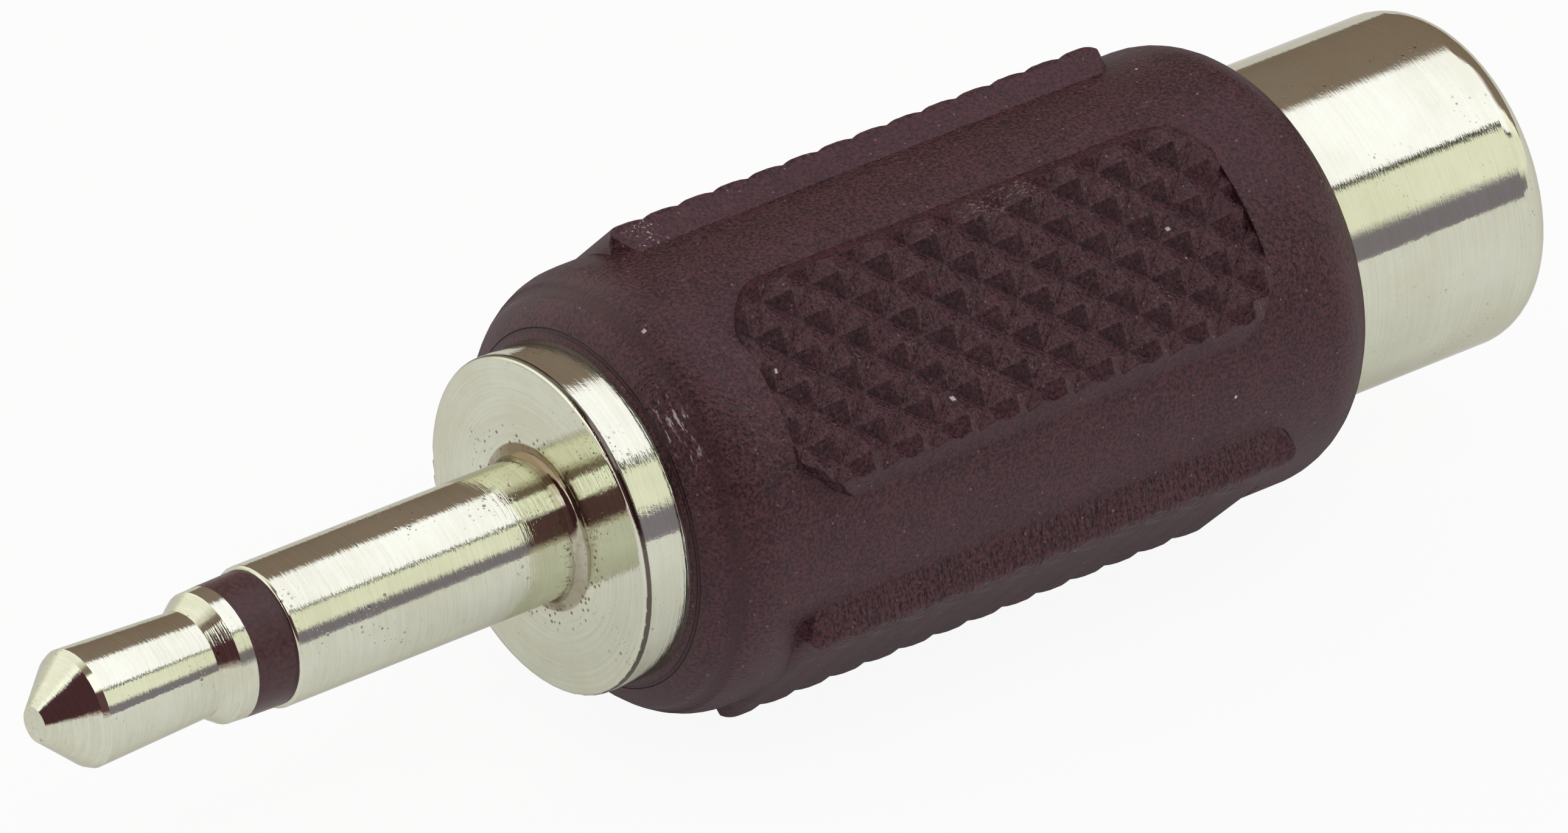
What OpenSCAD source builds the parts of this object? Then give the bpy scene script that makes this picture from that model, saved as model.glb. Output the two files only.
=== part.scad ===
// Adapter from a two-pole 3.5 mm plug to a phono (RCA) jack.
// It lies along X with the plug's nose towards -X, on two of its four grip pads.
// Lengths along the part are counted from the front face of the plug's flange.

/* [Plug] */
// Length of the plug from the flange to the nose
plug_len = 14.45; // [13.5:0.05:16]
// Diameter of the plug's sleeve
sleeve_d = 3.5; // [3.3:0.05:3.7]
// Diameter of the small flat on the nose
nose_d = 0.9; // [0.6:0.1:1.6]
// Length of the nose cone
nose_len = 1.1; // [0.9:0.05:1.4]
// Largest diameter of the tip
tip_d = 2.9; // [2.7:0.05:3.1]
// Diameter of the tip's neck
neck_d = 2.6; // [2.3:0.05:2.7]
// Distance from the nose to the neck
neck_dist = 4.35; // [3.8:0.05:4.8]
// Diameter of the collar behind the neck, at its front
collar_d = 3.22; // [3.1:0.01:3.26]
// Length of the flare from the neck up to the collar
flare_len = 0.45; // [0.3:0.05:0.8]
// Length of the collar
collar_len = 0.4; // [0.2:0.05:0.6]
// Softening of the edge behind the nose cone
tip_edge = 0.08; // [0.04:0.01:0.12]
// Length of the insulating ring behind the collar
ring_len = 1.1; // [0.8:0.1:1.4]
// Diameter of the insulating ring at its front
ring_front_d = 3.26; // [3.2:0.01:3.3]
// Diameter of the insulating ring at its rear
ring_d = 3.32; // [3.24:0.01:3.36]
// Edge rounding at the front of the sleeve
sleeve_edge = 0.08; // [0.05:0.01:0.12]
// Diameter of the rod behind the tip
rod_d = 1.3; // [1:0.05:1.5]
// Bore through the sleeve
sleeve_bore_d = 2.3; // [2:0.05:2.5]

/* [Flange and shank] */
// Diameter of the flange
flange_d = 8.4; // [7.8:0.1:8.4]
// Thickness of the flange
flange_t = 1.3; // [1:0.1:1.6]
// Edge rounding of the flange
flange_edge = 0.15; // [0.05:0.01:0.25]
// Fillet between sleeve and flange
base_fillet = 0.3; // [0.1:0.05:0.4]
// Diameter of the shank that is moulded in
shank_d = 5.2; // [4.8:0.1:5.6]
// Length of the shank
shank_len = 2.5; // [2.2:0.1:3]
// Diameter of the spigot that carries the earth tag
spigot_d = 4; // [3.6:0.1:4.4]
// Diameter of the staked lip that holds the tag
stake_d = 4.5; // [4.5:0.05:4.7]
// Length of the staked lip
stake_len = 0.3; // [0.2:0.05:0.5]

/* [Terminals] */
// Thickness of the insulating washer behind the sleeve
washer_t = 0.7; // [0.5:0.1:1]
// Diameter of the insulating washer
washer_d = 4; // [3.4:0.1:4.2]
// Thickness of the tip's solder lug
lug_t = 0.3; // [0.2:0.05:0.4]
// Rim of the lug's ring outside its tail
lug_rim = 0.5; // [0.1:0.05:0.6]
// Width of the lug's tail
lug_tail_w = 1.4; // [1:0.1:1.6]
// Length of the lug's tail behind its ring
lug_tail_len = 2.7; // [2.5:0.1:3]
// Length of the rivet head
rivet_len = 0.5; // [0.3:0.1:0.6]
// Gap between rivet head and lug tail
lug_gap = 0.1; // [0.05:0.05:0.2]
// Thickness of the earth tags
tag_t = 0.4; // [0.3:0.05:0.5]
// Outer diameter of the plug's earth tag
sleeve_tag_d = 6; // [5.6:0.1:6.4]
// Rim of the inner mould outside the jack's earth tag
shell_tag_rim = 0.15; // [0.1:0.05:0.3]
// Hole in the jack's earth tag
shell_tag_bore_d = 5.2; // [4.8:0.1:5.6]
// Width of the earth tags' tails
tag_tail_w = 1.6; // [1.2:0.1:2]
// Length of the earth tags' tails
tag_tail_len = 3.4; // [3.1:0.1:3.7]
// Distance from the axis to the outer face of the tags' tails
tag_tail_out = 3; // [2.9:0.05:3.2]

/* [Wires] */
// Diameter of the conductors
core_d = 0.6; // [0.4:0.05:0.7]
// Diameter of the wires' insulation
jacket_d = 1.2; // [1:0.1:1.4]
// Length of bare conductor that lies on each terminal
bare_len = 1.8; // [1.4:0.1:1.8]
// Film of solder between a conductor and its terminal
solder_film = 0.05; // [0.03:0.01:0.1]
// Gap between a terminal's end and the insulation
strip_gap = 0.5; // [0.3:0.1:0.8]
// Diameter of each drop of solder
solder_d = 1.5; // [1.3:0.1:1.7]

/* [Body] */
// Diameter of the moulded body
body_d = 11.04; // [10.6:0.02:12]
// Length of the body behind the flange
body_len = 20; // [19.5:0.05:21]
// Rounding of both ends of the body
body_round = 1.75; // [1.4:0.05:2]
// Distance that the front rounding starts inside the flange
round_tuck = 0.05; // [0:0.01:0.1]
// Thickness of the body's front wall
front_wall = 1.2; // [1:0.1:1.5]
// Thickness of the body round the inner mould
inner_wall = 1.55; // [1.3:0.05:1.8]
// Depth of the keying grooves in the inner mould
key_depth = 0.35; // [0.2:0.05:0.5]
// Width of the keying grooves
key_w = 1.2; // [0.8:0.1:1.6]

/* [Grip pads] */
// Distance from the body's middle forward to the pads' middle
pad_shift = 0.275; // [0:0.025:0.5]
// Length of each ribbed pad
pad_len = 14.5; // [12:0.1:14.6]
// Length of each diamond pad
diamond_len = 14.1; // [12:0.1:14.6]
// Width of a pad across its face
pad_w = 4.9; // [4.4:0.1:5.2]
// Height of a pad's face above the round barrel
pad_rise = 0.06; // [0.01:0.01:0.3]
// Depth to which a pad reaches into the barrel
pad_sink = 1; // [0.8:0.1:1.2]
// Rounding of the long edges of a pad's face
pad_edge = 0.3; // [0.2:0.05:0.35]
// Rounding of the end edges of a pad's face
pad_end_edge = 0.5; // [0.3:0.05:0.6]
// Slope of the pads' side walls in degrees
pad_draft = 25; // [10:1:30]
// Slope of the pads' end walls in degrees
pad_end_draft = 12; // [5:1:25]
// Corner rounding at the foot of a ribbed pad
rib_corner = 1.2; // [0.8:0.1:1.6]
// Corner rounding at the foot of a diamond pad
diamond_corner = 2.4; // [1.6:0.1:2.5]
// Spacing of the ribs on two of the pads
rib_pitch = 1.035; // [0.8:0.005:1.3]
// Depth of the gaps between ribs
rib_depth = 0.1; // [0.08:0.01:0.15]
// Spacing of the diamonds along and across the other two pads
diamond_pitch = 1.42; // [1.1:0.01:1.8]
// Depth of the grooves between diamonds
diamond_depth = 0.28; // [0.15:0.01:0.3]
// Width of the flat left on each diamond's point
diamond_flat = 0.05; // [0.02:0.01:0.1]
// Distance along the pad from its middle to a crossing of the grooves
diamond_shift = 0.34; // [0:0.01:0.7]

/* [Jack] */
// Outer diameter of the jack's shell
shell_d = 8.48; // [8.2:0.01:8.5]
// Length of the shell that stands out of the body
shell_out = 6.15; // [5.8:0.05:7.4]
// Rounding of the shell's outer lip
lip_round = 0.9; // [0.5:0.05:0.9]
// Bore of the shell
shell_bore_d = 6.6; // [6.2:0.1:6.6]
// Diameter of the shell where it is moulded in
grip_d = 8.1; // [7.9:0.05:8.15]
// Length of the shell that is moulded in
shell_in = 3.95; // [3.5:0.05:4.5]
// Thickness of the body round the shell's rear collar
collar_cover = 0.75; // [0.6:0.05:0.85]
// Length of the shell's rear collar
shell_collar_len = 0.8; // [0.6:0.1:1.2]
// Depth of the insulator's face behind the lip
face_depth = 0.8; // [0.5:0.1:1.2]
// Diameter of the hole in the insulator's face
guide_d = 3.6; // [3.5:0.05:3.9]
// Thickness of the insulator's face wall
face_wall = 0.55; // [0.4:0.05:0.8]
// Bore of the centre contact
contact_bore_d = 3.2; // [3.15:0.01:3.3]
// Outer diameter of the centre contact
contact_d = 4.2; // [4:0.1:4.6]
// Thickness of the centre contact's closed end
contact_end = 0.4; // [0.3:0.1:0.8]
// Lead-in at the centre contact's mouth
contact_lead = 0.15; // [0.1:0.05:0.2]
// Width of the slots that split the contact into springs
slot_w = 0.4; // [0.3:0.05:0.5]
// Length of the slots
slot_len = 5.5; // [4:0.5:6]
// Room round the springs in which they can open
spring_gap = 0.15; // [0.1:0.05:0.3]
// Diameter of the contact's solder pin
pin_d = 1; // [0.8:0.1:1.2]
// Length of the contact's solder pin
pin_len = 4.2; // [3.8:0.1:4.6]

/* [Hidden] */
$fn = 96;

// Overlap that lets a cut run clear of the face it starts from
over = 0.1;

// Places along the plug, from the nose back
nose_s = -plug_len;
cone_end_s = nose_s + nose_len;
neck_s = nose_s + neck_dist;
collar_s = neck_s + flare_len;
ring_s = collar_s + collar_len;
sleeve_s = ring_s + ring_len;

// Places of what is moulded in behind the flange
shank_end_s = flange_t + shank_len;
stake_s = shank_end_s + tag_t;
sleeve_end_s = stake_s + stake_len;
lug_s = sleeve_end_s + washer_t;
rivet_s = lug_s + lug_t;
rivet_end_s = rivet_s + rivet_len;
lug_end_s = rivet_s + lug_tail_len;
sleeve_tag_end_s = stake_s + tag_tail_len;

// Places of the body and the jack
body_end_s = flange_t + body_len;
inner_r = body_d / 2 - inner_wall;
shell_tag_r = inner_r - shell_tag_rim;
shell_collar_r = body_d / 2 - collar_cover;
front_round_s = flange_t - round_tuck + body_round;
rear_round_s = body_end_s + round_tuck - body_round;
inner_s = flange_t + front_wall;
shell_s = body_end_s - shell_in;
shell_collar_end_s = shell_s + shell_collar_len;
shell_end_s = body_end_s + shell_out;
face_s = shell_end_s - face_depth;
mouth_s = face_s - face_wall;
contact_bore_s = shell_s + contact_end;
pin_end_s = shell_s - pin_len;
shell_tag_s = shell_s - tag_t;
shell_tag_end_s = shell_tag_s - tag_tail_len;

// Wires: the signal wire lies between lug and pin, the earth wire on the tags
signal_z = pin_d / 2 + solder_film + core_d / 2;
lug_tail_z = signal_z + core_d / 2 + solder_film;
lug_r = lug_tail_z + lug_t + lug_rim;
rivet_r = lug_tail_z - lug_gap;
signal_from_s = lug_end_s - bare_len;
signal_to_s = pin_end_s + bare_len;
tag_face_z = tag_t - tag_tail_out;
ground_z = tag_face_z + solder_film + core_d / 2;
ground_from_s = sleeve_tag_end_s - bare_len;
ground_to_s = shell_tag_end_s + bare_len;

// Grip pads
pad_mid_s = (front_round_s + rear_round_s) / 2 - pad_shift;
pad_h = body_d / 2 + pad_rise;
pad_root = body_d / 2 - pad_sink;
rib_r = (pow(rib_pitch / 2, 2) + pow(rib_depth, 2)) / (2 * rib_depth);
rib_count = round(pad_len / rib_pitch);
groove_step = diamond_pitch / sqrt(2);
groove_reach = (pad_len + pad_w) / 2 + diamond_shift + diamond_pitch;
groove_count = ceil(groove_reach / diamond_pitch);

// The part rests on the rounded edges of two pads, each turned 45 degrees from the floor
edge_inset = pad_edge * (1 - sin(pad_draft)) / cos(pad_draft);
axis_z = (pad_h + pad_w / 2 - edge_inset - pad_edge) / sqrt(2) + pad_edge;
mid_s = (nose_s + shell_end_s) / 2;

body_grey = [0.20, 0.15, 0.16];
nickel = [0.80, 0.79, 0.74];
copper = [0.72, 0.45, 0.30];
tin = [0.72, 0.72, 0.70];

// Puts children whose X is the distance along the part into the part's own frame
module seated() {
    translate([-mid_s, 0, axis_z]) children();
}

// Spins a section drawn as radius and distance along the part
module turned() {
    seated() rotate([0, 90, 0]) rotate_extrude() children();
}

// Section of a plain ring between two radii and two places along the part
module ring_section(r_in, r_out, from_s, to_s) {
    translate([r_in, from_s]) square([r_out - r_in, to_s - from_s]);
}

// Section of what rounding takes off an outer edge; side is 1 at a front edge, -1 at a rear edge
module edge_cut(r, at_s, round_r, side) {
    low = side > 0 ? at_s - over : at_s - round_r;
    difference() {
        translate([r - round_r, low]) square(round_r + over);
        translate([r - round_r, at_s + side * round_r]) circle(round_r);
    }
}

// Round bar along the part at a height above the axis
module bar(r, from_s, to_s, z = 0) {
    seated() translate([from_s, 0, z]) rotate([0, 90, 0]) cylinder(h = to_s - from_s, r = r);
}

// Flat strip along the part, centred across it
module strip(from_s, to_s, w, z_low, z_high) {
    seated() translate([from_s, -w / 2, z_low]) cube([to_s - from_s, w, z_high - z_low]);
}

// Outline of a pad seen from above, with rounded corners
module pad_outline(l, w, r) {
    square([l - 2 * r, w], center = true);
    square([l, w - 2 * r], center = true);
    for (x = [-1, 1], y = [-1, 1]) {
        translate([x * (l / 2 - r), y * (w / 2 - r)]) circle(r);
    }
}

// Cut through a pad from its root up to its face, with drafted walls and rounded upper edges
module pad_section(face, r, slope) {
    foot = face + 2 * (pad_h - pad_root) * tan(slope);
    x = face / 2 - r * (1 - sin(slope)) / cos(slope);
    wall_x = x + r * cos(slope);
    wall_z = pad_h - r + r * sin(slope);
    polygon([
        [-foot / 2, pad_root],
        [foot / 2, pad_root],
        [wall_x, wall_z],
        [x, pad_h],
        [-x, pad_h],
        [-wall_x, wall_z]
    ]);
    for (side = [-1, 1]) {
        translate([side * x, pad_h - r]) circle(r);
    }
}

// Plain block of one pad with drafted sides and ends, its face towards +Z
module pad_block(l, corner) {
    rise = pad_h - pad_root;
    foot_w = pad_w + 2 * rise * tan(pad_draft);
    foot_l = l + 2 * rise * tan(pad_end_draft);
    intersection() {
        rotate([90, 0, 90]) linear_extrude(foot_l + over, center = true) {
            pad_section(pad_w, pad_edge, pad_draft);
        }
        rotate([90, 0, 0]) linear_extrude(foot_w + over, center = true) {
            pad_section(l, pad_end_edge, pad_end_draft);
        }
        translate([0, 0, pad_root - over]) linear_extrude(rise + 2 * over) {
            pad_outline(foot_l + over, foot_w + over, corner);
        }
    }
}

// Space over one pad in which its face is shaped, from a depth below the face
module face_space(l, depth) {
    translate([0, 0, pad_h - depth]) linear_extrude(depth + 0.5 * over) {
        square([l, 2 * pad_w], center = true);
    }
}

// What is taken off a pad's face between rounded ribs that run across it
module rib_gaps() {
    difference() {
        face_space(pad_len, 1.1 * rib_depth);
        for (i = [0 : rib_count - 1]) {
            translate([(i - (rib_count - 1) / 2) * rib_pitch, 0, pad_h - rib_r]) {
                rotate([90, 0, 0]) cylinder(h = 3 * pad_w, r = rib_r, center = true);
            }
        }
    }
}

// One straight V groove through a pad's face, square to the direction that it is turned from
module diamond_groove() {
    half = (groove_step - diamond_flat) / 2;
    top_half = half * (diamond_depth + over) / diamond_depth;
    rotate([90, 0, 0]) linear_extrude(4 * pad_w, center = true) {
        polygon([[0, -diamond_depth], [top_half, over], [-top_half, over]]);
    }
}

// Two sets of crossing grooves that leave small pyramids on a pad's face
module diamond_gaps() {
    intersection() {
        face_space(diamond_len, 2 * diamond_depth);
        union() {
            for (turn = [-45, 45], i = [-groove_count : groove_count]) {
                translate([i * diamond_pitch + diamond_shift, 0, pad_h]) {
                    rotate([0, 0, turn]) diamond_groove();
                }
            }
        }
    }
}

// Puts children on each pad whose direction is listed
module on_pads(turns) {
    seated() {
        for (turn = turns) {
            rotate([turn, 0, 0]) translate([pad_mid_s, 0, 0]) children();
        }
    }
}

// Moulded body: a round barrel with rounded ends and four grip pads
module body() {
    color(body_grey) difference() {
        union() {
            turned() body_section();
            on_pads([45, 225]) pad_block(diamond_len, diamond_corner);
            on_pads([135, 315]) pad_block(pad_len, rib_corner);
        }
        on_pads([45, 225]) diamond_gaps();
        on_pads([135, 315]) rib_gaps();
        turned() inner_space();
    }
}

// Outline of the round barrel
module body_section() {
    r = body_d / 2;
    intersection() {
        difference() {
            ring_section(0, r, front_round_s - body_round, rear_round_s + body_round);
            edge_cut(r, front_round_s - body_round, body_round, 1);
            edge_cut(r, rear_round_s + body_round, body_round, -1);
        }
        ring_section(0, r + over, flange_t, body_end_s);
    }
}

// Space inside the body: shank, inner mould, the shell's collar and its moulded length
module inner_space() {
    ring_section(0, shank_d / 2, flange_t - over, inner_s + over);
    inner_section();
    ring_section(0, shell_collar_r, shell_s, shell_collar_end_s);
    ring_section(0, grip_d / 2, shell_s, body_end_s + over);
}

// Outline of the inner mould, with two grooves that key it into the body
module inner_section() {
    span = shell_s - inner_s;
    difference() {
        ring_section(0, inner_r, inner_s, shell_s);
        for (place = [0.3, 0.7]) {
            at_s = inner_s + place * span;
            ring_section(inner_r - key_depth, inner_r + over, at_s - key_w / 2, at_s + key_w / 2);
        }
    }
}

// Inner mould that is cast round the terminals and wires
module inner_mould() {
    color([0.85, 0.84, 0.78]) difference() {
        turned() inner_section();
        turned() shank_section();
        bar(rivet_r, rivet_s, rivet_end_s);
        bar(washer_d / 2, sleeve_end_s, lug_s);
        tip_lug_shape();
        sleeve_tag_shape();
        shell_tag_shape(over);
        bar(pin_d / 2, pin_end_s, shell_s + over);
        signal_run();
        ground_run();
        tip_drop();
        centre_drop();
        front_ground_drop();
        rear_ground_drop();
    }
}

// Turned tip with the rod that runs back through the sleeve to its rivet head
module tip_contact() {
    color(nickel) turned() {
        polygon([
            [0, nose_s],
            [nose_d / 2, nose_s],
            [tip_d / 2 - tip_edge, cone_end_s - tip_edge],
            [tip_d / 2, cone_end_s + tip_edge],
            [neck_d / 2, neck_s],
            [collar_d / 2, collar_s],
            [ring_front_d / 2, ring_s],
            [rod_d / 2, ring_s],
            [rod_d / 2, rivet_s],
            [rivet_r, rivet_s],
            [rivet_r, rivet_end_s],
            [0, rivet_end_s]
        ]);
    }
}

// Insulating bush: the ring that shows and the tube that lines the sleeve
module tip_insulator() {
    color([0.10, 0.08, 0.08]) turned() {
        polygon([
            [rod_d / 2, ring_s],
            [ring_front_d / 2, ring_s],
            [ring_d / 2, sleeve_s],
            [sleeve_bore_d / 2, sleeve_s],
            [sleeve_bore_d / 2, sleeve_end_s],
            [rod_d / 2, sleeve_end_s]
        ]);
    }
}

// Outline of the sleeve's shank, spigot and staked lip
module shank_section() {
    ring_section(0, shank_d / 2, flange_t, shank_end_s);
    ring_section(0, spigot_d / 2, shank_end_s, sleeve_end_s);
    ring_section(0, stake_d / 2, stake_s, sleeve_end_s);
}

// Turned sleeve with its flange, shank and staked lip
module plug_sleeve() {
    color(nickel) turned() difference() {
        union() {
            difference() {
                ring_section(0, sleeve_d / 2, sleeve_s, flange_t);
                edge_cut(sleeve_d / 2, sleeve_s, sleeve_edge, 1);
            }
            difference() {
                ring_section(0, flange_d / 2, 0, flange_t);
                edge_cut(flange_d / 2, 0, flange_edge, 1);
            }
            base_fillet_section();
            shank_section();
        }
        ring_section(-over, sleeve_bore_d / 2, sleeve_s - over, sleeve_end_s + over);
    }
}

// Section of the fillet where the sleeve runs into the flange
module base_fillet_section() {
    difference() {
        ring_section(sleeve_d / 2 - over, sleeve_d / 2 + base_fillet, -base_fillet, over);
        translate([sleeve_d / 2 + base_fillet, -base_fillet]) circle(base_fillet);
    }
}

// Insulating washer between the sleeve and the tip's lug
module rear_washer() {
    color([0.30, 0.22, 0.14]) turned() ring_section(rod_d / 2, washer_d / 2, sleeve_end_s, lug_s);
}

// Shape of the lug without its hole, also cut from the inner mould
module tip_lug_shape() {
    bar(lug_r, lug_s, rivet_s);
    strip(lug_s, lug_end_s, lug_tail_w, lug_tail_z, lug_tail_z + lug_t);
}

// Solder lug that is riveted to the rod behind the tip
module tip_lug() {
    color(nickel) difference() {
        tip_lug_shape();
        bar(rod_d / 2, lug_s - over, rivet_s + over);
    }
}

// Shape of the plug's earth tag without its hole
module sleeve_tag_shape() {
    bar(sleeve_tag_d / 2, shank_end_s, stake_s);
    strip(shank_end_s, sleeve_tag_end_s, tag_tail_w, -tag_tail_out, tag_face_z);
}

// Earth tag that is staked onto the sleeve's spigot
module sleeve_tag() {
    color(nickel) difference() {
        sleeve_tag_shape();
        bar(spigot_d / 2, shank_end_s - over, stake_s);
        bar(stake_d / 2, stake_s, sleeve_end_s);
    }
}

// Shape of the jack's earth tag, as a ring with a tail; extra lets a cut run past its rear face
module shell_tag_shape(extra = 0) {
    difference() {
        bar(shell_tag_r, shell_tag_s, shell_s + extra);
        bar(shell_tag_bore_d / 2, shell_tag_s - over, shell_s + extra + over);
    }
    strip(shell_tag_end_s, shell_s + extra, tag_tail_w, -tag_tail_out, tag_face_z);
}

// Earth tag on the rear face of the jack's shell
module shell_tag() {
    color(nickel) shell_tag_shape();
}

// Whole signal wire, conductor and insulation
module signal_run() {
    bar(core_d / 2, signal_from_s, signal_to_s, signal_z);
    bar(jacket_d / 2, lug_end_s + strip_gap, pin_end_s - strip_gap, signal_z);
}

// Whole earth wire, conductor and insulation
module ground_run() {
    bar(core_d / 2, ground_from_s, ground_to_s, ground_z);
    bar(jacket_d / 2, sleeve_tag_end_s + strip_gap, shell_tag_end_s - strip_gap, ground_z);
}

// Insulation along a stretch of wire
module jacket(from_s, to_s, z) {
    difference() {
        bar(jacket_d / 2, from_s, to_s, z);
        bar(core_d / 2, from_s - over, to_s + over, z);
    }
}

module signal_wire() {
    color(copper) bar(core_d / 2, signal_from_s, signal_to_s, signal_z);
}

module signal_jacket() {
    color([0.75, 0.15, 0.12]) jacket(lug_end_s + strip_gap, pin_end_s - strip_gap, signal_z);
}

module ground_wire() {
    color(copper) bar(core_d / 2, ground_from_s, ground_to_s, ground_z);
}

module ground_jacket() {
    color([0.12, 0.12, 0.12]) {
        jacket(sleeve_tag_end_s + strip_gap, shell_tag_end_s - strip_gap, ground_z);
    }
}

// Drop of solder round a wire at one place along the part, between two heights
module solder_drop(at_s, z, low_z, high_z) {
    r = solder_d / 2;
    intersection() {
        seated() translate([at_s, 0, z]) rotate([0, 90, 0]) rotate_extrude() {
            polygon([[0, -r], [0.5 * r, -r], [r, -0.4 * r], [r, 0.4 * r], [0.5 * r, r], [0, r]]);
        }
        strip(at_s - solder_d, at_s + solder_d, 2 * solder_d, low_z, high_z);
    }
}

module tip_drop() {
    solder_drop(lug_end_s - bare_len / 2, signal_z, signal_z - solder_d, lug_tail_z);
}

module centre_drop() {
    solder_drop(pin_end_s + bare_len / 2, signal_z, signal_z - solder_d, signal_z + solder_d);
}

module front_ground_drop() {
    solder_drop(sleeve_tag_end_s - bare_len / 2, ground_z, tag_face_z, ground_z + solder_d);
}

module rear_ground_drop() {
    solder_drop(shell_tag_end_s + bare_len / 2, ground_z, tag_face_z, ground_z + solder_d);
}

// The four joints: wire to lug, wire to pin, wire to each earth tag
module tip_solder() {
    color(tin) difference() {
        tip_drop();
        bar(core_d / 2, signal_from_s, signal_to_s, signal_z);
    }
}

module centre_solder() {
    color(tin) difference() {
        centre_drop();
        bar(pin_d / 2, pin_end_s, shell_s);
        bar(core_d / 2, signal_from_s, signal_to_s, signal_z);
    }
}

module front_ground_solder() {
    color(tin) difference() {
        front_ground_drop();
        bar(core_d / 2, ground_from_s, ground_to_s, ground_z);
    }
}

module rear_ground_solder() {
    color(tin) difference() {
        rear_ground_drop();
        bar(core_d / 2, ground_from_s, ground_to_s, ground_z);
    }
}

// Outer contact of the jack: barrel with a rounded lip, and the collar that anchors it
module rca_shell() {
    color(nickel) turned() difference() {
        union() {
            difference() {
                ring_section(0, shell_d / 2, body_end_s, shell_end_s);
                edge_cut(shell_d / 2, shell_end_s, lip_round, -1);
            }
            ring_section(0, grip_d / 2, shell_s, body_end_s);
            ring_section(0, shell_collar_r, shell_s, shell_collar_end_s);
        }
        ring_section(-over, shell_bore_d / 2, shell_s - over, shell_end_s + over);
    }
}

// Insulator of the jack with the seat for its centre contact
module rca_insulator() {
    color([0.10, 0.08, 0.08]) turned() difference() {
        ring_section(0, shell_bore_d / 2, shell_s, face_s);
        ring_section(-over, guide_d / 2, mouth_s - over, face_s + over);
        ring_section(-over, contact_d / 2, shell_s - over, mouth_s);
        ring_section(-over, contact_d / 2 + spring_gap, mouth_s - slot_len, mouth_s);
    }
}

// Centre contact: a tube split into springs, with a solder pin behind
module rca_contact() {
    lead_r = contact_bore_d / 2 + contact_lead;
    color(nickel) difference() {
        turned() difference() {
            union() {
                ring_section(0, contact_d / 2, shell_s, mouth_s);
                ring_section(0, pin_d / 2, pin_end_s, shell_s);
            }
            ring_section(-over, contact_bore_d / 2, contact_bore_s, mouth_s + over);
            polygon([
                [0, mouth_s - contact_lead],
                [contact_bore_d / 2, mouth_s - contact_lead],
                [lead_r, mouth_s],
                [lead_r, mouth_s + over],
                [0, mouth_s + over]
            ]);
        }
        for (turn = [0, 90]) {
            seated() translate([mouth_s - slot_len, 0, 0]) rotate([turn, 0, 0]) {
                translate([0, -slot_w / 2, -contact_d]) cube([slot_len + over, slot_w, 2 * contact_d]);
            }
        }
    }
}

body();
inner_mould();
tip_contact();
tip_insulator();
plug_sleeve();
rear_washer();
tip_lug();
sleeve_tag();
signal_wire();
signal_jacket();
ground_wire();
ground_jacket();
tip_solder();
centre_solder();
front_ground_solder();
rear_ground_solder();
shell_tag();
rca_shell();
rca_insulator();
rca_contact();
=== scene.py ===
import math
import bpy
from mathutils import Matrix, Vector

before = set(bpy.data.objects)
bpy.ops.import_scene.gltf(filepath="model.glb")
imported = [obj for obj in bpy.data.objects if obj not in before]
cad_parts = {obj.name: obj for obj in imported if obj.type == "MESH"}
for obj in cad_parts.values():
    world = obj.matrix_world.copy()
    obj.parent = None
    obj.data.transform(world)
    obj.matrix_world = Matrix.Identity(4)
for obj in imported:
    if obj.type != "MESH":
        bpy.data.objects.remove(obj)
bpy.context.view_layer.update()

# Camera: a long lens from the plug's end, looking down at the side with a diamond pad.
# It stands 450 mm from the flange, where the photograph's perspective puts it.
axis_height = 0.0056308
flange_front = Vector((-0.0065, 0.0, axis_height))
camera_aside = 0.0057599
camera_raised = 0.0025794
camera_distance = 0.450
camera_data = bpy.data.cameras.new("camera")
camera = bpy.data.objects.new("camera", camera_data)
bpy.context.scene.collection.objects.link(camera)
camera_right = Vector((0.79198, -0.61048, -0.01012)).normalized()
camera_back = Vector((-0.52508, -0.68947, 0.49897)).normalized()
camera_up = camera_back.cross(camera_right).normalized()
camera_turn = Matrix((camera_right, camera_up, camera_back)).transposed()
camera_place = flange_front + camera_turn @ Vector((camera_aside, camera_raised, camera_distance))
camera.matrix_world = Matrix.Translation(camera_place) @ camera_turn.to_4x4()
camera_data.sensor_width = 36.0
camera_data.lens = 442.24
camera_data.clip_start = 0.01
camera_data.clip_end = 10.0
bpy.context.scene.camera = camera
bpy.context.scene.view_settings.view_transform = "Standard"

# Studio: a light tent round the part, open in narrow gaps that the metal shows as dark bands.
# The angle round the part's axis says which panel or gap a ray meets. The tent's left, its right
# and its two ends have panels of their own. The camera itself sees plain white.
world = bpy.data.worlds.new("studio")
bpy.context.scene.world = world
world.use_nodes = True


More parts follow.
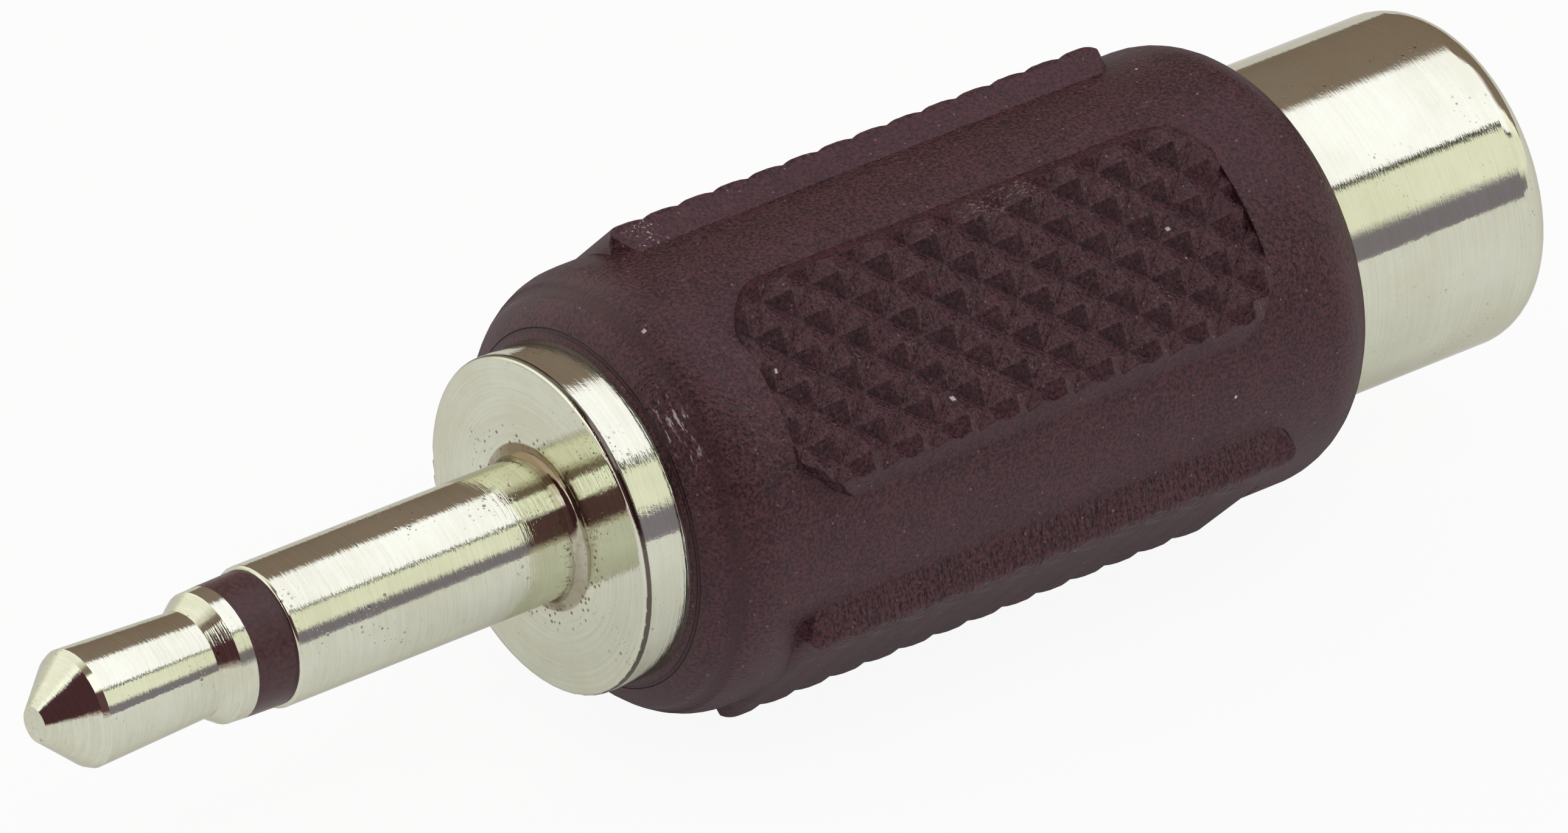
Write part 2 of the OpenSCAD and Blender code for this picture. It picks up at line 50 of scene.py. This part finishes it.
class Bench:
    """A bench on which a light or a finish is put together from nodes."""

    def __init__(self, tree):
        self.nodes = tree.nodes
        self.links = tree.links

    def feed(self, socket, value):
        """Gives a socket another node's output, a number or a colour."""
        if isinstance(value, bpy.types.NodeSocket):
            self.links.new(value, socket)
        elif isinstance(value, tuple):
            socket.default_value = (*value, 1.0)
        else:
            socket.default_value = value

    def work_out(self, kind, first, second=0.0):
        """One step of arithmetic."""
        made = self.nodes.new("ShaderNodeMath")
        made.operation = kind
        self.feed(made.inputs[0], first)
        self.feed(made.inputs[1], second)
        return made.outputs[0]

    def remap(self, source, low, high, out_low=0.0, out_high=1.0, kind="SMOOTHSTEP"):
        """Turns a value between two limits into a value between two others."""
        made = self.nodes.new("ShaderNodeMapRange")
        made.interpolation_type = kind
        self.feed(made.inputs["Value"], source)
        self.feed(made.inputs["From Min"], low)
        self.feed(made.inputs["From Max"], high)
        self.feed(made.inputs["To Min"], out_low)
        self.feed(made.inputs["To Max"], out_high)
        return made.outputs[0]

    def blend(self, share, first, second):
        """Mixes two colours."""
        made = self.nodes.new("ShaderNodeMix")
        made.data_type = "RGBA"
        self.feed(made.inputs["Factor"], share)
        self.feed(made.inputs["A"], first)
        self.feed(made.inputs["B"], second)
        return made.outputs["Result"]

    def split(self, vector):
        """The three parts of a vector."""
        made = self.nodes.new("ShaderNodeSeparateXYZ")
        self.feed(made.inputs[0], vector)
        return made.outputs

    def mix_shaders(self, share, first, second):
        """Mixes the lights or surfaces that two nodes give."""
        made = self.nodes.new("ShaderNodeMixShader")
        self.feed(made.inputs[0], share)
        self.feed(made.inputs[1], first.outputs[0])
        self.feed(made.inputs[2], second.outputs[0])
        return made.outputs[0]


studio = Bench(world.node_tree)
studio.nodes.clear()
ray = studio.split(studio.nodes.new("ShaderNodeTexCoord").outputs["Generated"])
toward_jack = ray["X"]
toward_front = studio.work_out("MULTIPLY", ray["Y"], -1.0)
ray_angle = studio.work_out("ARCTAN2", ray["Z"], toward_front)
most_skew = math.radians(10.0)
skew = studio.remap(toward_jack, 0.30, 0.72, -most_skew, most_skew, kind="LINEAR")
skewed_angle = studio.work_out("ADD", ray_angle, skew)
round_tent = studio.remap(skewed_angle, -math.pi, math.pi, kind="LINEAR")


def panels(*stops):
    """Colours at degrees round the axis: -180 is level behind, -90 below, 0 in front, 90 above."""
    made = studio.nodes.new("ShaderNodeValToRGB")
    made.color_ramp.interpolation = "LINEAR"
    while len(made.color_ramp.elements) > 1:
        made.color_ramp.elements.remove(made.color_ramp.elements[-1])
    for number, (degrees, colour) in enumerate(stops):
        place = (degrees + 180.0) / 360.0
        if number == 0:
            stop = made.color_ramp.elements[0]
            stop.position = place
        else:
            stop = made.color_ramp.elements.new(place)
        stop.color = (*colour, 1.0)
    studio.feed(made.inputs[0], round_tent)
    return made.outputs["Color"]


white = (1.26, 1.235, 1.33)
bright = (1.4, 1.4, 1.35)
cream = (0.92, 0.92, 0.77)
table = (0.9, 0.9, 0.88)
table_edge = (0.62, 0.55, 0.51)
room = (0.255, 0.192, 0.155)
gap = (0.23, 0.20, 0.24)
brown = (0.12, 0.062, 0.066)
seam = (0.04, 0.03, 0.02)
near_black = (0.075, 0.030, 0.038)
right_panels = panels(
    (-180, (0.45, 0.40, 0.36)), (-166, table), (-2, (0.6, 0.6, 0.6)), (2, gap), (17, gap),
    (23, cream), (50.2, cream), (50.9, seam), (53.8, seam), (54.5, white), (114, white),
    (119, room), (178, room))
left_panels = panels(
    (-180, table), (-8, table_edge), (2, brown), (38, brown), (45, bright), (73, bright),
    (78, room), (89, room), (96, (0.70, 0.66, 0.55)), (110, (1.05, 1.03, 0.95)),
    (155, (1.10, 1.08, 0.98)), (168, (0.75, 0.72, 0.64)))
plug_end_panels = panels(
    (-180, table), (-8, table_edge), (1, near_black), (99, near_black),
    (106, (1.30, 1.28, 1.22)), (155, (1.25, 1.22, 1.15)), (168, (0.3, 0.25, 0.22)))
jack_end_panels = panels(
    (-180, table), (50, (0.95, 0.95, 0.80)), (74, (1.2, 1.18, 1.1)), (86, room), (178, room))
left_to_right = studio.remap(toward_jack, 0.10, 0.42)
into_jack_end = studio.remap(toward_jack, 0.74, 0.90)
into_plug_end = studio.remap(toward_jack, -0.55, -0.61)
tent = studio.blend(left_to_right, left_panels, right_panels)
tent = studio.blend(into_jack_end, tent, jack_end_panels)
tent = studio.blend(into_plug_end, tent, plug_end_panels)
tent_light = studio.nodes.new("ShaderNodeBackground")
studio.feed(tent_light.inputs["Color"], tent)
backdrop_white = studio.nodes.new("ShaderNodeBackground")
in_view = studio.nodes.new("ShaderNodeLightPath").outputs["Is Camera Ray"]
world_out = studio.nodes.new("ShaderNodeOutputWorld")
studio.feed(world_out.inputs[0], studio.mix_shaders(in_view, tent_light, backdrop_white))

# Floor: matt white card under the part, wide enough to pass behind every view.
# To the camera it is nearly pure white, and it keeps a light shadow.
floor_width = 3.0
card_white = (0.82, 0.82, 0.82)
glow_on_part = 0.40
glow_in_view = 0.93
bpy.ops.object.select_all(action="DESELECT")
bpy.ops.mesh.primitive_plane_add(size=floor_width, location=(0.0, 0.0, 0.0))
floor = bpy.context.active_object
floor.name = "floor"
card = bpy.data.materials.new("floor_card")
card.use_nodes = True
card_bench = Bench(card.node_tree)
card_bench.nodes.clear()
matt = card_bench.nodes.new("ShaderNodeBsdfDiffuse")
card_bench.feed(matt.inputs["Color"], card_white)
glow = card_bench.nodes.new("ShaderNodeEmission")
in_view = card_bench.nodes.new("ShaderNodeLightPath").outputs["Is Camera Ray"]
glow_share = card_bench.remap(in_view, 0.0, 1.0, glow_on_part, glow_in_view, kind="LINEAR")
card_out = card_bench.nodes.new("ShaderNodeOutputMaterial")
card_bench.feed(card_out.inputs[0], card_bench.mix_shaders(glow_share, matt, glow))
floor.data.materials.append(card)

# Tip contact: one turned brass rod from the nose cone back through the plug, nickel plated.
# It is riveted over behind the plug and carries the signal. The plate shows fine turning rings,
# a soft ripple and small pits.


class Finish(Bench):
    """One finish: a shader, with patterns measured in metres from the part's axis."""

    def __init__(self, name, drawn_out=1.0):
        self.material = bpy.data.materials.new(name)
        self.material.use_nodes = True
        super().__init__(self.material.node_tree)
        self.shader = self.nodes["Principled BSDF"]
        self.coordinates = self.nodes.new("ShaderNodeTexCoord")
        self.centred = self.lengthwise(drawn_out)
        self.bump = self.nodes.new("ShaderNodeBump")
        self.feed(self.shader.inputs["Normal"], self.bump.outputs[0])

    def lengthwise(self, share):
        """Coordinates whose lengths along the part are multiplied by a share."""
        made = self.nodes.new("ShaderNodeMapping")
        made.vector_type = "TEXTURE"
        made.inputs["Location"].default_value = (0.0, 0.0, axis_height)
        made.inputs["Scale"].default_value = (1.0 / share, 1.0, 1.0)
        self.feed(made.inputs["Vector"], self.coordinates.outputs["Object"])
        return made.outputs[0]

    def joined(self, first, second, third=0.0):
        """Coordinates put together from three values."""
        made = self.nodes.new("ShaderNodeCombineXYZ")
        for socket, value in zip(made.inputs, (first, second, third)):
            self.feed(socket, value)
        return made.outputs[0]

    def measure_round(self):
        """Place along the part, distance from its axis, and angle from the front upwards."""
        parts = self.split(self.centred)
        across = self.work_out("MULTIPLY", parts["Y"], parts["Y"])
        upward = self.work_out("MULTIPLY", parts["Z"], parts["Z"])
        toward_front = self.work_out("MULTIPLY", parts["Y"], -1.0)
        self.along = parts["X"]
        self.radius = self.work_out("SQRT", self.work_out("ADD", across, upward))
        self.angle = self.work_out("ARCTAN2", parts["Z"], toward_front)

    def noise(self, scale, detail=3.0, rough=0.5, where=None):
        """Cloudy pattern, with so many clouds per unit of its coordinates."""
        made = self.nodes.new("ShaderNodeTexNoise")
        self.feed(made.inputs["Scale"], scale)
        self.feed(made.inputs["Detail"], detail)
        self.feed(made.inputs["Roughness"], rough)
        self.feed(made.inputs["Vector"], where or self.centred)
        return made.outputs["Fac"]

    def spots(self, scale, radius, soft):
        """Round spots at scattered places: 1 inside a spot, 0 outside."""
        made = self.nodes.new("ShaderNodeTexVoronoi")
        self.feed(made.inputs["Scale"], scale)
        self.feed(made.inputs["Vector"], self.centred)
        return self.remap(made.outputs["Distance"], radius - soft, radius + soft, 1.0, 0.0)

    def paint(self, share, first, second):
        """Gives the shader a blend of two colours."""
        self.colour = self.blend(share, first, second)
        self.feed(self.shader.inputs["Base Color"], self.colour)

    def tint(self, share, strength, colour):
        """Lays one more colour over the paint where a share says so."""
        self.paint(self.work_out("MULTIPLY", share, strength), self.colour, colour)

    def polish(self, source, gloss, spread):
        """Roughness from gloss upwards, uneven where a pattern is."""
        uneven = self.remap(source, 0.3, 0.7, gloss, gloss + spread)
        self.feed(self.shader.inputs["Roughness"], uneven)

    def emboss(self, height, depth):
        """Relief of a given depth."""
        self.feed(self.bump.inputs["Strength"], 1.0)
        self.feed(self.bump.inputs["Distance"], depth)
        self.feed(self.bump.inputs["Height"], height)

    def put_on(self, *node_names):
        """Gives every slot of the named pieces this finish."""
        for node_name in node_names:
            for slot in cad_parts[node_name].material_slots:
                slot.material = self.material


def nickel_plate(name, light, shade, gloss, ring_depth, pit_size):
    """Nickel plate on turned brass: turning rings, a soft ripple, stains and pits."""
    plate = Finish(name)
    plate.measure_round()
    ring_scale = 17000.0
    rings = plate.joined(plate.work_out("MULTIPLY", plate.along, ring_scale),
                         plate.work_out("MULTIPLY", plate.radius, ring_scale),
                         plate.work_out("MULTIPLY", plate.angle, 1.3))
    turning = plate.noise(scale=1.0, detail=2.0, rough=0.6, where=rings)
    stain = plate.noise(scale=420.0, detail=4.0, rough=0.6)
    uneven = plate.work_out("ADD", plate.work_out("MULTIPLY", stain, 0.6),
                            plate.work_out("MULTIPLY", turning, 0.4))
    plate.paint(plate.remap(uneven, 0.36, 0.64), light, shade)
    crowd = plate.remap(plate.noise(scale=700.0, detail=2.0), 0.54, 0.70, 0.08, 1.0)
    pits = plate.spots(scale=3400.0, radius=0.14 * pit_size, soft=0.05)
    fine_pits = plate.spots(scale=8200.0, radius=0.16 * pit_size, soft=0.06)
    pitted = plate.work_out("MULTIPLY", plate.work_out("MAXIMUM", pits, fine_pits), crowd)
    pit_dirt = (0.13, 0.10, 0.06)
    plate.tint(pitted, 0.75, pit_dirt)
    plate.feed(plate.shader.inputs["Metallic"], 1.0)
    plate.feed(plate.shader.inputs["Specular Tint"], (0.78, 0.76, 0.72))
    plate.polish(stain, gloss, spread=0.05)
    ripple = plate.noise(scale=5200.0, detail=2.0, rough=0.55)
    relief = plate.work_out("ADD", turning, plate.work_out("MULTIPLY", ripple, 0.8))
    relief = plate.work_out("SUBTRACT", relief, plate.work_out("MULTIPLY", pitted, 0.8))
    plate.emboss(relief, ring_depth)
    return plate


tip_plate = nickel_plate("tip_nickel", light=(0.78, 0.80, 0.675), shade=(0.68, 0.69, 0.55),
                         gloss=0.06, ring_depth=0.0000032, pit_size=1.0)
tip_plate.put_on("tip_contact")

# Plug sleeve: turned brass with its flange and shank in one, nickel plated.
# The flange face keeps faint rings of the cut, with a painted shadow line inside its edge. Round the
# foot of the sleeve the fillet is painted brown as a dark reflection, and the plate is specked.
foot_dark_reflection = (0.25, 0.19, 0.11)
edge_shadow = (0.07, 0.05, 0.045)
speck_brown = (0.16, 0.11, 0.06)
sleeve_plate = nickel_plate("sleeve_nickel", light=(0.78, 0.80, 0.675), shade=(0.69, 0.70, 0.565),
                            gloss=0.05, ring_depth=0.0000036, pit_size=1.0)


def band(finish, source, low, high, soft):
    """1 while a value lies between two limits, fading to 0 beyond them."""
    enter = finish.remap(source, low - soft, low)
    leave = finish.remap(source, high, high + soft, 1.0, 0.0)
    return finish.work_out("MULTIPLY", enter, leave)


def all_of(finish, *shares):
    """Product of several shares."""
    result = shares[0]
    for share in shares[1:]:
        result = finish.work_out("MULTIPLY", result, share)
    return result


# Painted dark reflection: brown on the fillet round the foot of the sleeve
sleeve_foot = all_of(
    sleeve_plate,
    band(sleeve_plate, sleeve_plate.radius, 0.00178, 0.00205, soft=0.00006),
    band(sleeve_plate, sleeve_plate.along, -0.00685, -0.00640, soft=0.00010))
sleeve_gloss = sleeve_plate.shader.inputs["Roughness"].links[0].from_socket
patchy = sleeve_plate.remap(sleeve_gloss, 0.055, 0.095, 0.45, 0.95)
sleeve_plate.paint(all_of(sleeve_plate, sleeve_foot, patchy), sleeve_plate.colour, foot_dark_reflection)
# Painted shadow: a dark line just inside the flange's edge
flange_edge = all_of(
    sleeve_plate,
    band(sleeve_plate, sleeve_plate.radius, 0.00408, 0.00430, soft=0.00002),
    band(sleeve_plate, sleeve_plate.along, -0.00643, -0.00635, soft=0.00003))
sleeve_plate.tint(flange_edge, 0.9, edge_shadow)
foot_specks = all_of(
    sleeve_plate,
    band(sleeve_plate, sleeve_plate.radius, 0.00208, 0.00240, soft=0.00026),
    sleeve_plate.spots(scale=5200.0, radius=0.24, soft=0.06))
sleeve_plate.tint(foot_specks, 0.8, speck_brown)
sleeve_plate.put_on("plug_sleeve")

# Insulator of the plug: a black nylon tube with a wide ring that shows behind the tip.
# It is moulded, pushed in from the front and clamped by the tip rod.


def dark_plastic(name, dark, light, gloss, sheen, grain_scale, grain_depth):
    """Dark moulded plastic with a spark-eroded grain and uneven colour."""
    plastic = Finish(name)
    cloud = plastic.noise(scale=900.0, detail=4.0, rough=0.65)
    plastic.grain = plastic.noise(scale=grain_scale, detail=3.0, rough=0.6)
    mottle = plastic.work_out("ADD", plastic.work_out("MULTIPLY", cloud, 0.15),
                              plastic.work_out("MULTIPLY", plastic.grain, 0.85))
    plastic.paint(plastic.remap(mottle, 0.36, 0.64), dark, light)
    plastic.feed(plastic.shader.inputs["Specular IOR Level"], sheen)
    plastic.polish(plastic.grain, gloss, spread=0.15)
    plastic.emboss(plastic.grain, grain_depth)
    return plastic


ring_plastic = dark_plastic("ring_black", dark=(0.062, 0.025, 0.028), light=(0.100, 0.044, 0.049),
                            gloss=0.30, sheen=0.35, grain_scale=9000.0, grain_depth=0.000003)
ring_plastic.put_on("tip_insulator")

# Washer behind the plug: punched phenolic paper, brown, which keeps the rivet off the sleeve.
# Its fibres show as fine light and dark flecks.


def inside_finish(name, dark, light, metal, gloss, patch_scale, depth):
    """Finish for a piece inside the body, with uneven colour and a fine relief."""
    made = Finish(name)
    patch = made.noise(patch_scale, detail=4.0, rough=0.6)
    made.paint(made.remap(patch, 0.35, 0.65), dark, light)
    made.feed(made.shader.inputs["Metallic"], metal)
    made.polish(patch, gloss, spread=0.12)
    made.emboss(patch, depth)
    return made


phenolic = inside_finish("phenolic_paper", dark=(0.20, 0.10, 0.045), light=(0.32, 0.18, 0.09),
                         metal=0.0, gloss=0.5, patch_scale=6000.0, depth=0.000004)
phenolic.put_on("rear_washer")

# Solder terminals: stamped brass with thin nickel plate and dull patches from heat.
# The lug sits under the rivet, one tag is staked on the shank and one on the jack's shell.
terminal_plate = inside_finish("terminal_plate", dark=(0.42, 0.38, 0.27), light=(0.54, 0.53, 0.44),
                               metal=1.0, gloss=0.22, patch_scale=1500.0, depth=0.000003)
terminal_plate.put_on("tip_lug", "sleeve_tag", "shell_tag")

# Two short wires: copper conductors in coloured plastic jackets, stripped at both ends.
# The red one joins tip to centre contact, the black one joins the sleeve to the shell.
copper = inside_finish("wire_copper", dark=(0.62, 0.30, 0.17), light=(0.72, 0.50, 0.38),
                       metal=1.0, gloss=0.25, patch_scale=9000.0, depth=0.000006)
copper.put_on("signal_wire", "ground_wire")
red_jacket = inside_finish("red_jacket", dark=(0.42, 0.02, 0.015), light=(0.52, 0.035, 0.025),
                           metal=0.0, gloss=0.35, patch_scale=2500.0, depth=0.000003)
red_jacket.put_on("signal_jacket")
black_jacket = inside_finish("black_jacket", dark=(0.016, 0.015, 0.015), light=(0.028, 0.026, 0.026),
                             metal=0.0, gloss=0.35, patch_scale=2500.0, depth=0.000003)
black_jacket.put_on("ground_jacket")

# Four solder joints: tin solder drawn up round each wire end.
# It sets bright, with a few dull patches.
solder = inside_finish("tin_solder", dark=(0.44, 0.45, 0.46), light=(0.62, 0.63, 0.64),
                       metal=1.0, gloss=0.20, patch_scale=2200.0, depth=0.000005)
solder.put_on("tip_solder", "centre_solder", "front_ground_solder", "rear_ground_solder")

# Inner mould: natural polyethylene shot round the wired joints before the body is moulded.
# It is milky, with faint flow marks, and grooved so that the body keys into it.
milky = Finish("natural_polyethylene", drawn_out=0.3)
flow = milky.noise(scale=1400.0, detail=4.0, rough=0.6)
milky.paint(flow, (0.66, 0.64, 0.56), (0.74, 0.72, 0.66))
milky.feed(milky.shader.inputs["Subsurface Weight"], 0.15)
milky.feed(milky.shader.inputs["Subsurface Scale"], 0.001)
milky.polish(flow, gloss=0.40, spread=0.15)
milky.emboss(flow, depth=0.000005)
milky.put_on("inner_mould")

# Centre contact of the jack: a turned brass tube slit into four springs, nickel plated.
# Its pin runs back through the insulator to the solder joint.
contact_plate = nickel_plate("contact_nickel", light=(0.76, 0.77, 0.65), shade=(0.65, 0.65, 0.51),
                             gloss=0.10, ring_depth=0.0000025, pit_size=1.2)
contact_plate.put_on("rca_contact")

# Insulator of the jack: black nylon that holds the contact in the middle of the shell.
# Its mouth is smoother than the body, with faint moulding clouds.
mouth_plastic = dark_plastic("mouth_black", dark=(0.030, 0.022, 0.024), light=(0.045, 0.033, 0.035),
                             gloss=0.35, sheen=0.35, grain_scale=6000.0, grain_depth=0.000002)
mouth_plastic.put_on("rca_insulator")

# Shell of the jack: drawn and turned brass with bright nickel plate, closed in a rounded lip.
# It is the brightest piece, and its plate has a soft ripple and few pits.
shell_plate = nickel_plate("shell_nickel", light=(0.79, 0.81, 0.685), shade=(0.71, 0.72, 0.58),
                           gloss=0.035, ring_depth=0.0000017, pit_size=0.9)
shell_plate.put_on("rca_shell")

# Body: dark PVC moulded over the wired joints, with two ribbed and two diamond-cut pads.
# Its mould was spark eroded, so it is finely grained, and its worn edges are a little rounded.
# Dust lies in the grain. Pale painted highlights mark glints on the front shoulder and a few edges.
body = dark_plastic("moulded_brown_black", dark=(0.009, 0.002, 0.004), light=(0.096, 0.033, 0.044),
                    gloss=0.35, sheen=0.55, grain_scale=12000.0, grain_depth=0.000019)
body.feed(body.shader.inputs["Specular Tint"], (0.92, 0.68, 0.74))
body.measure_round()


def along_body(low, high, soft):
    """1 between two places along the body."""
    return band(body, body.along, low, high, soft)


def out_from_axis(low, high, soft):
    """1 between two distances from the axis."""
    return band(body, body.radius, low, high, soft)


def round_body(low, high, soft=0.06):
    """1 between two angles in degrees round the axis, with soft ends in radians."""
    return band(body, body.angle, math.radians(low), math.radians(high), soft)


# Dust: four large specks, placed along the part and in degrees round it, and many fine ones
large_speck = 0.00003
large_speck_turn = 0.006
large_specks = ((0.00947, 47.7), (-0.00434, 74.8), (-0.00211, 50.1), (0.00197, 28.1))
dust = body.spots(scale=700.0, radius=0.028, soft=0.010)
for speck_along, speck_degrees in large_specks:
    speck_angle = math.radians(speck_degrees)
    speck = all_of(
        body,
        along_body(speck_along - large_speck, speck_along + large_speck, large_speck),
        band(body, body.angle, speck_angle - large_speck_turn, speck_angle + large_speck_turn,
             large_speck_turn))
    dust = body.work_out("MAXIMUM", dust, speck)
body.paint(dust, body.colour, (0.70, 0.68, 0.66))
fine_dust = body.spots(scale=2600.0, radius=0.075, soft=0.03)
body.tint(fine_dust, 0.45, (0.36, 0.30, 0.29))

# Front end: two shallow rings round the flange, left by the mould's insert, pressed in as relief and
# darkened with painted shade
front_end = body.remap(body.along, -0.0043, -0.0041, 1.0, 0.0)
inner_ring = out_from_axis(0.00439, 0.00443, soft=0.00004)
outer_ring = out_from_axis(0.00514, 0.00520, soft=0.00014)
ring_grooves_and_shade = body.work_out("MAXIMUM", inner_ring, body.work_out("MULTIPLY", outer_ring, 0.7))
ring_grooves_and_shade = all_of(body, front_end, ring_grooves_and_shade)
# Painted shade in the two rings
body.tint(ring_grooves_and_shade, 0.85, (0.030, 0.010, 0.012))

# Painted highlights: pale arcs on the front end, a pale corner on the top pad and pale streaks along
# a pad edge, laid where glints fall
arcs = body.joined(body.work_out("MULTIPLY", body.radius, 12000.0),
                   body.work_out("MULTIPLY", body.angle, 11.0))
painted_glint_arcs = all_of(
    body,
    body.remap(body.noise(scale=1.0, detail=2.0, rough=0.7, where=arcs), 0.56, 0.68),
    front_end,
    out_from_axis(0.00465, 0.00500, soft=0.00025),
    band(body, body.angle, 0.74, 0.88, soft=0.20))
painted_corner_glint = all_of(
    body,
    body.remap(body.noise(scale=13000.0, detail=2.0, rough=0.7), 0.60, 0.68),
    along_body(-0.0023, -0.0016, soft=0.0002),
    round_body(105.0, 113.0))
streaks = body.noise(scale=14000.0, detail=2.0, rough=0.7, where=body.lengthwise(0.35))
painted_edge_highlight = all_of(
    body,
    body.remap(streaks, 0.56, 0.66),
    along_body(0.0046, 0.0066, soft=0.0004),
    round_body(67.0, 72.0))
# Painted highlights: pale colour where glints fall
body.tint(body.work_out("MAXIMUM", painted_glint_arcs, painted_corner_glint), 0.9, (0.52, 0.49, 0.48))
body.tint(painted_edge_highlight, 0.6, (0.30, 0.25, 0.23))

# Diamond pads: fine pale rub marks run over them at random. The facets that look towards the
# plug and down get painted shade, darker with a frayed edge, as the light leaves them in the
# photograph
pad_turns = body.work_out("SINE", body.work_out("MULTIPLY", body.angle, 2.0))
diamond_pads = body.remap(pad_turns, 0.60, 0.80)
pad_length = along_body(-0.0035, 0.0105, soft=0.0005)
rub_lines = body.noise(scale=3600.0, detail=3.0, rough=0.6)
rub_marks = all_of(body, band(body, rub_lines, 0.495, 0.505, soft=0.016), diamond_pads, pad_length)
body.tint(rub_marks, 0.16, (0.34, 0.26, 0.27))
# Painted shade: one family of facets is darkened in the base colour
shaded_way = (-0.707, -0.5, -0.5)
looks_that_way = body.nodes.new("ShaderNodeVectorMath")
looks_that_way.operation = "DOT_PRODUCT"
looks_that_way.inputs[1].default_value = shaded_way
body.feed(looks_that_way.inputs[0], body.coordinates.outputs["Normal"])
fraying = body.remap(body.noise(scale=4200.0, detail=3.0, rough=0.6), 0.35, 0.65, -0.22, 0.16)
frayed = body.work_out("ADD", looks_that_way.outputs["Value"], fraying)
shade_patches = body.remap(body.noise(scale=1500.0, detail=2.0, rough=0.5), 0.35, 0.60, 0.35, 1.0)
painted_facet_shade = all_of(body, shade_patches, body.remap(frayed, 0.12, 0.36), diamond_pads, pad_length)
body.tint(painted_facet_shade, 0.52, (0.004, 0.001, 0.002))

# Relief: grain all over, crumbs on the diamonds, creases at the near ribbed pad's foot, and
# the two rings of the front end pressed in
crumbs = all_of(body, body.noise(scale=6500.0, detail=3.0, rough=0.6), diamond_pads)
creases = all_of(
    body,
    body.noise(scale=3600.0, detail=2.0, rough=0.5, where=body.lengthwise(2.6)),
    round_body(-27.0, -14.0),
    along_body(-0.0020, 0.0105, soft=0.0008))
relief = body.work_out("ADD", body.grain, body.work_out("MULTIPLY", crumbs, 3.0))
relief = body.work_out("ADD", relief, body.work_out("MULTIPLY", creases, 4.0))
relief = body.work_out("SUBTRACT", relief, body.work_out("MULTIPLY", ring_grooves_and_shade, 4.5))
body.feed(body.bump.inputs["Height"], relief)

# Gloss fades where the surface is seen on edge, and sharp edges are worn round
gloss_level = 0.58
gloss_on_edge = 0.03
edge_wear = 0.00005
edge_on = body.nodes.new("ShaderNodeLayerWeight")
body.feed(edge_on.inputs["Blend"], 0.5)
fading = body.remap(edge_on.outputs["Facing"], 0.40, 0.92, gloss_level, gloss_on_edge)
body.feed(body.shader.inputs["Specular IOR Level"], fading)
worn_edge = body.nodes.new("ShaderNodeBevel")
worn_edge.samples = 6
body.feed(worn_edge.inputs["Radius"], edge_wear)
body.feed(body.bump.inputs["Normal"], worn_edge.outputs[0])
body.put_on("body")
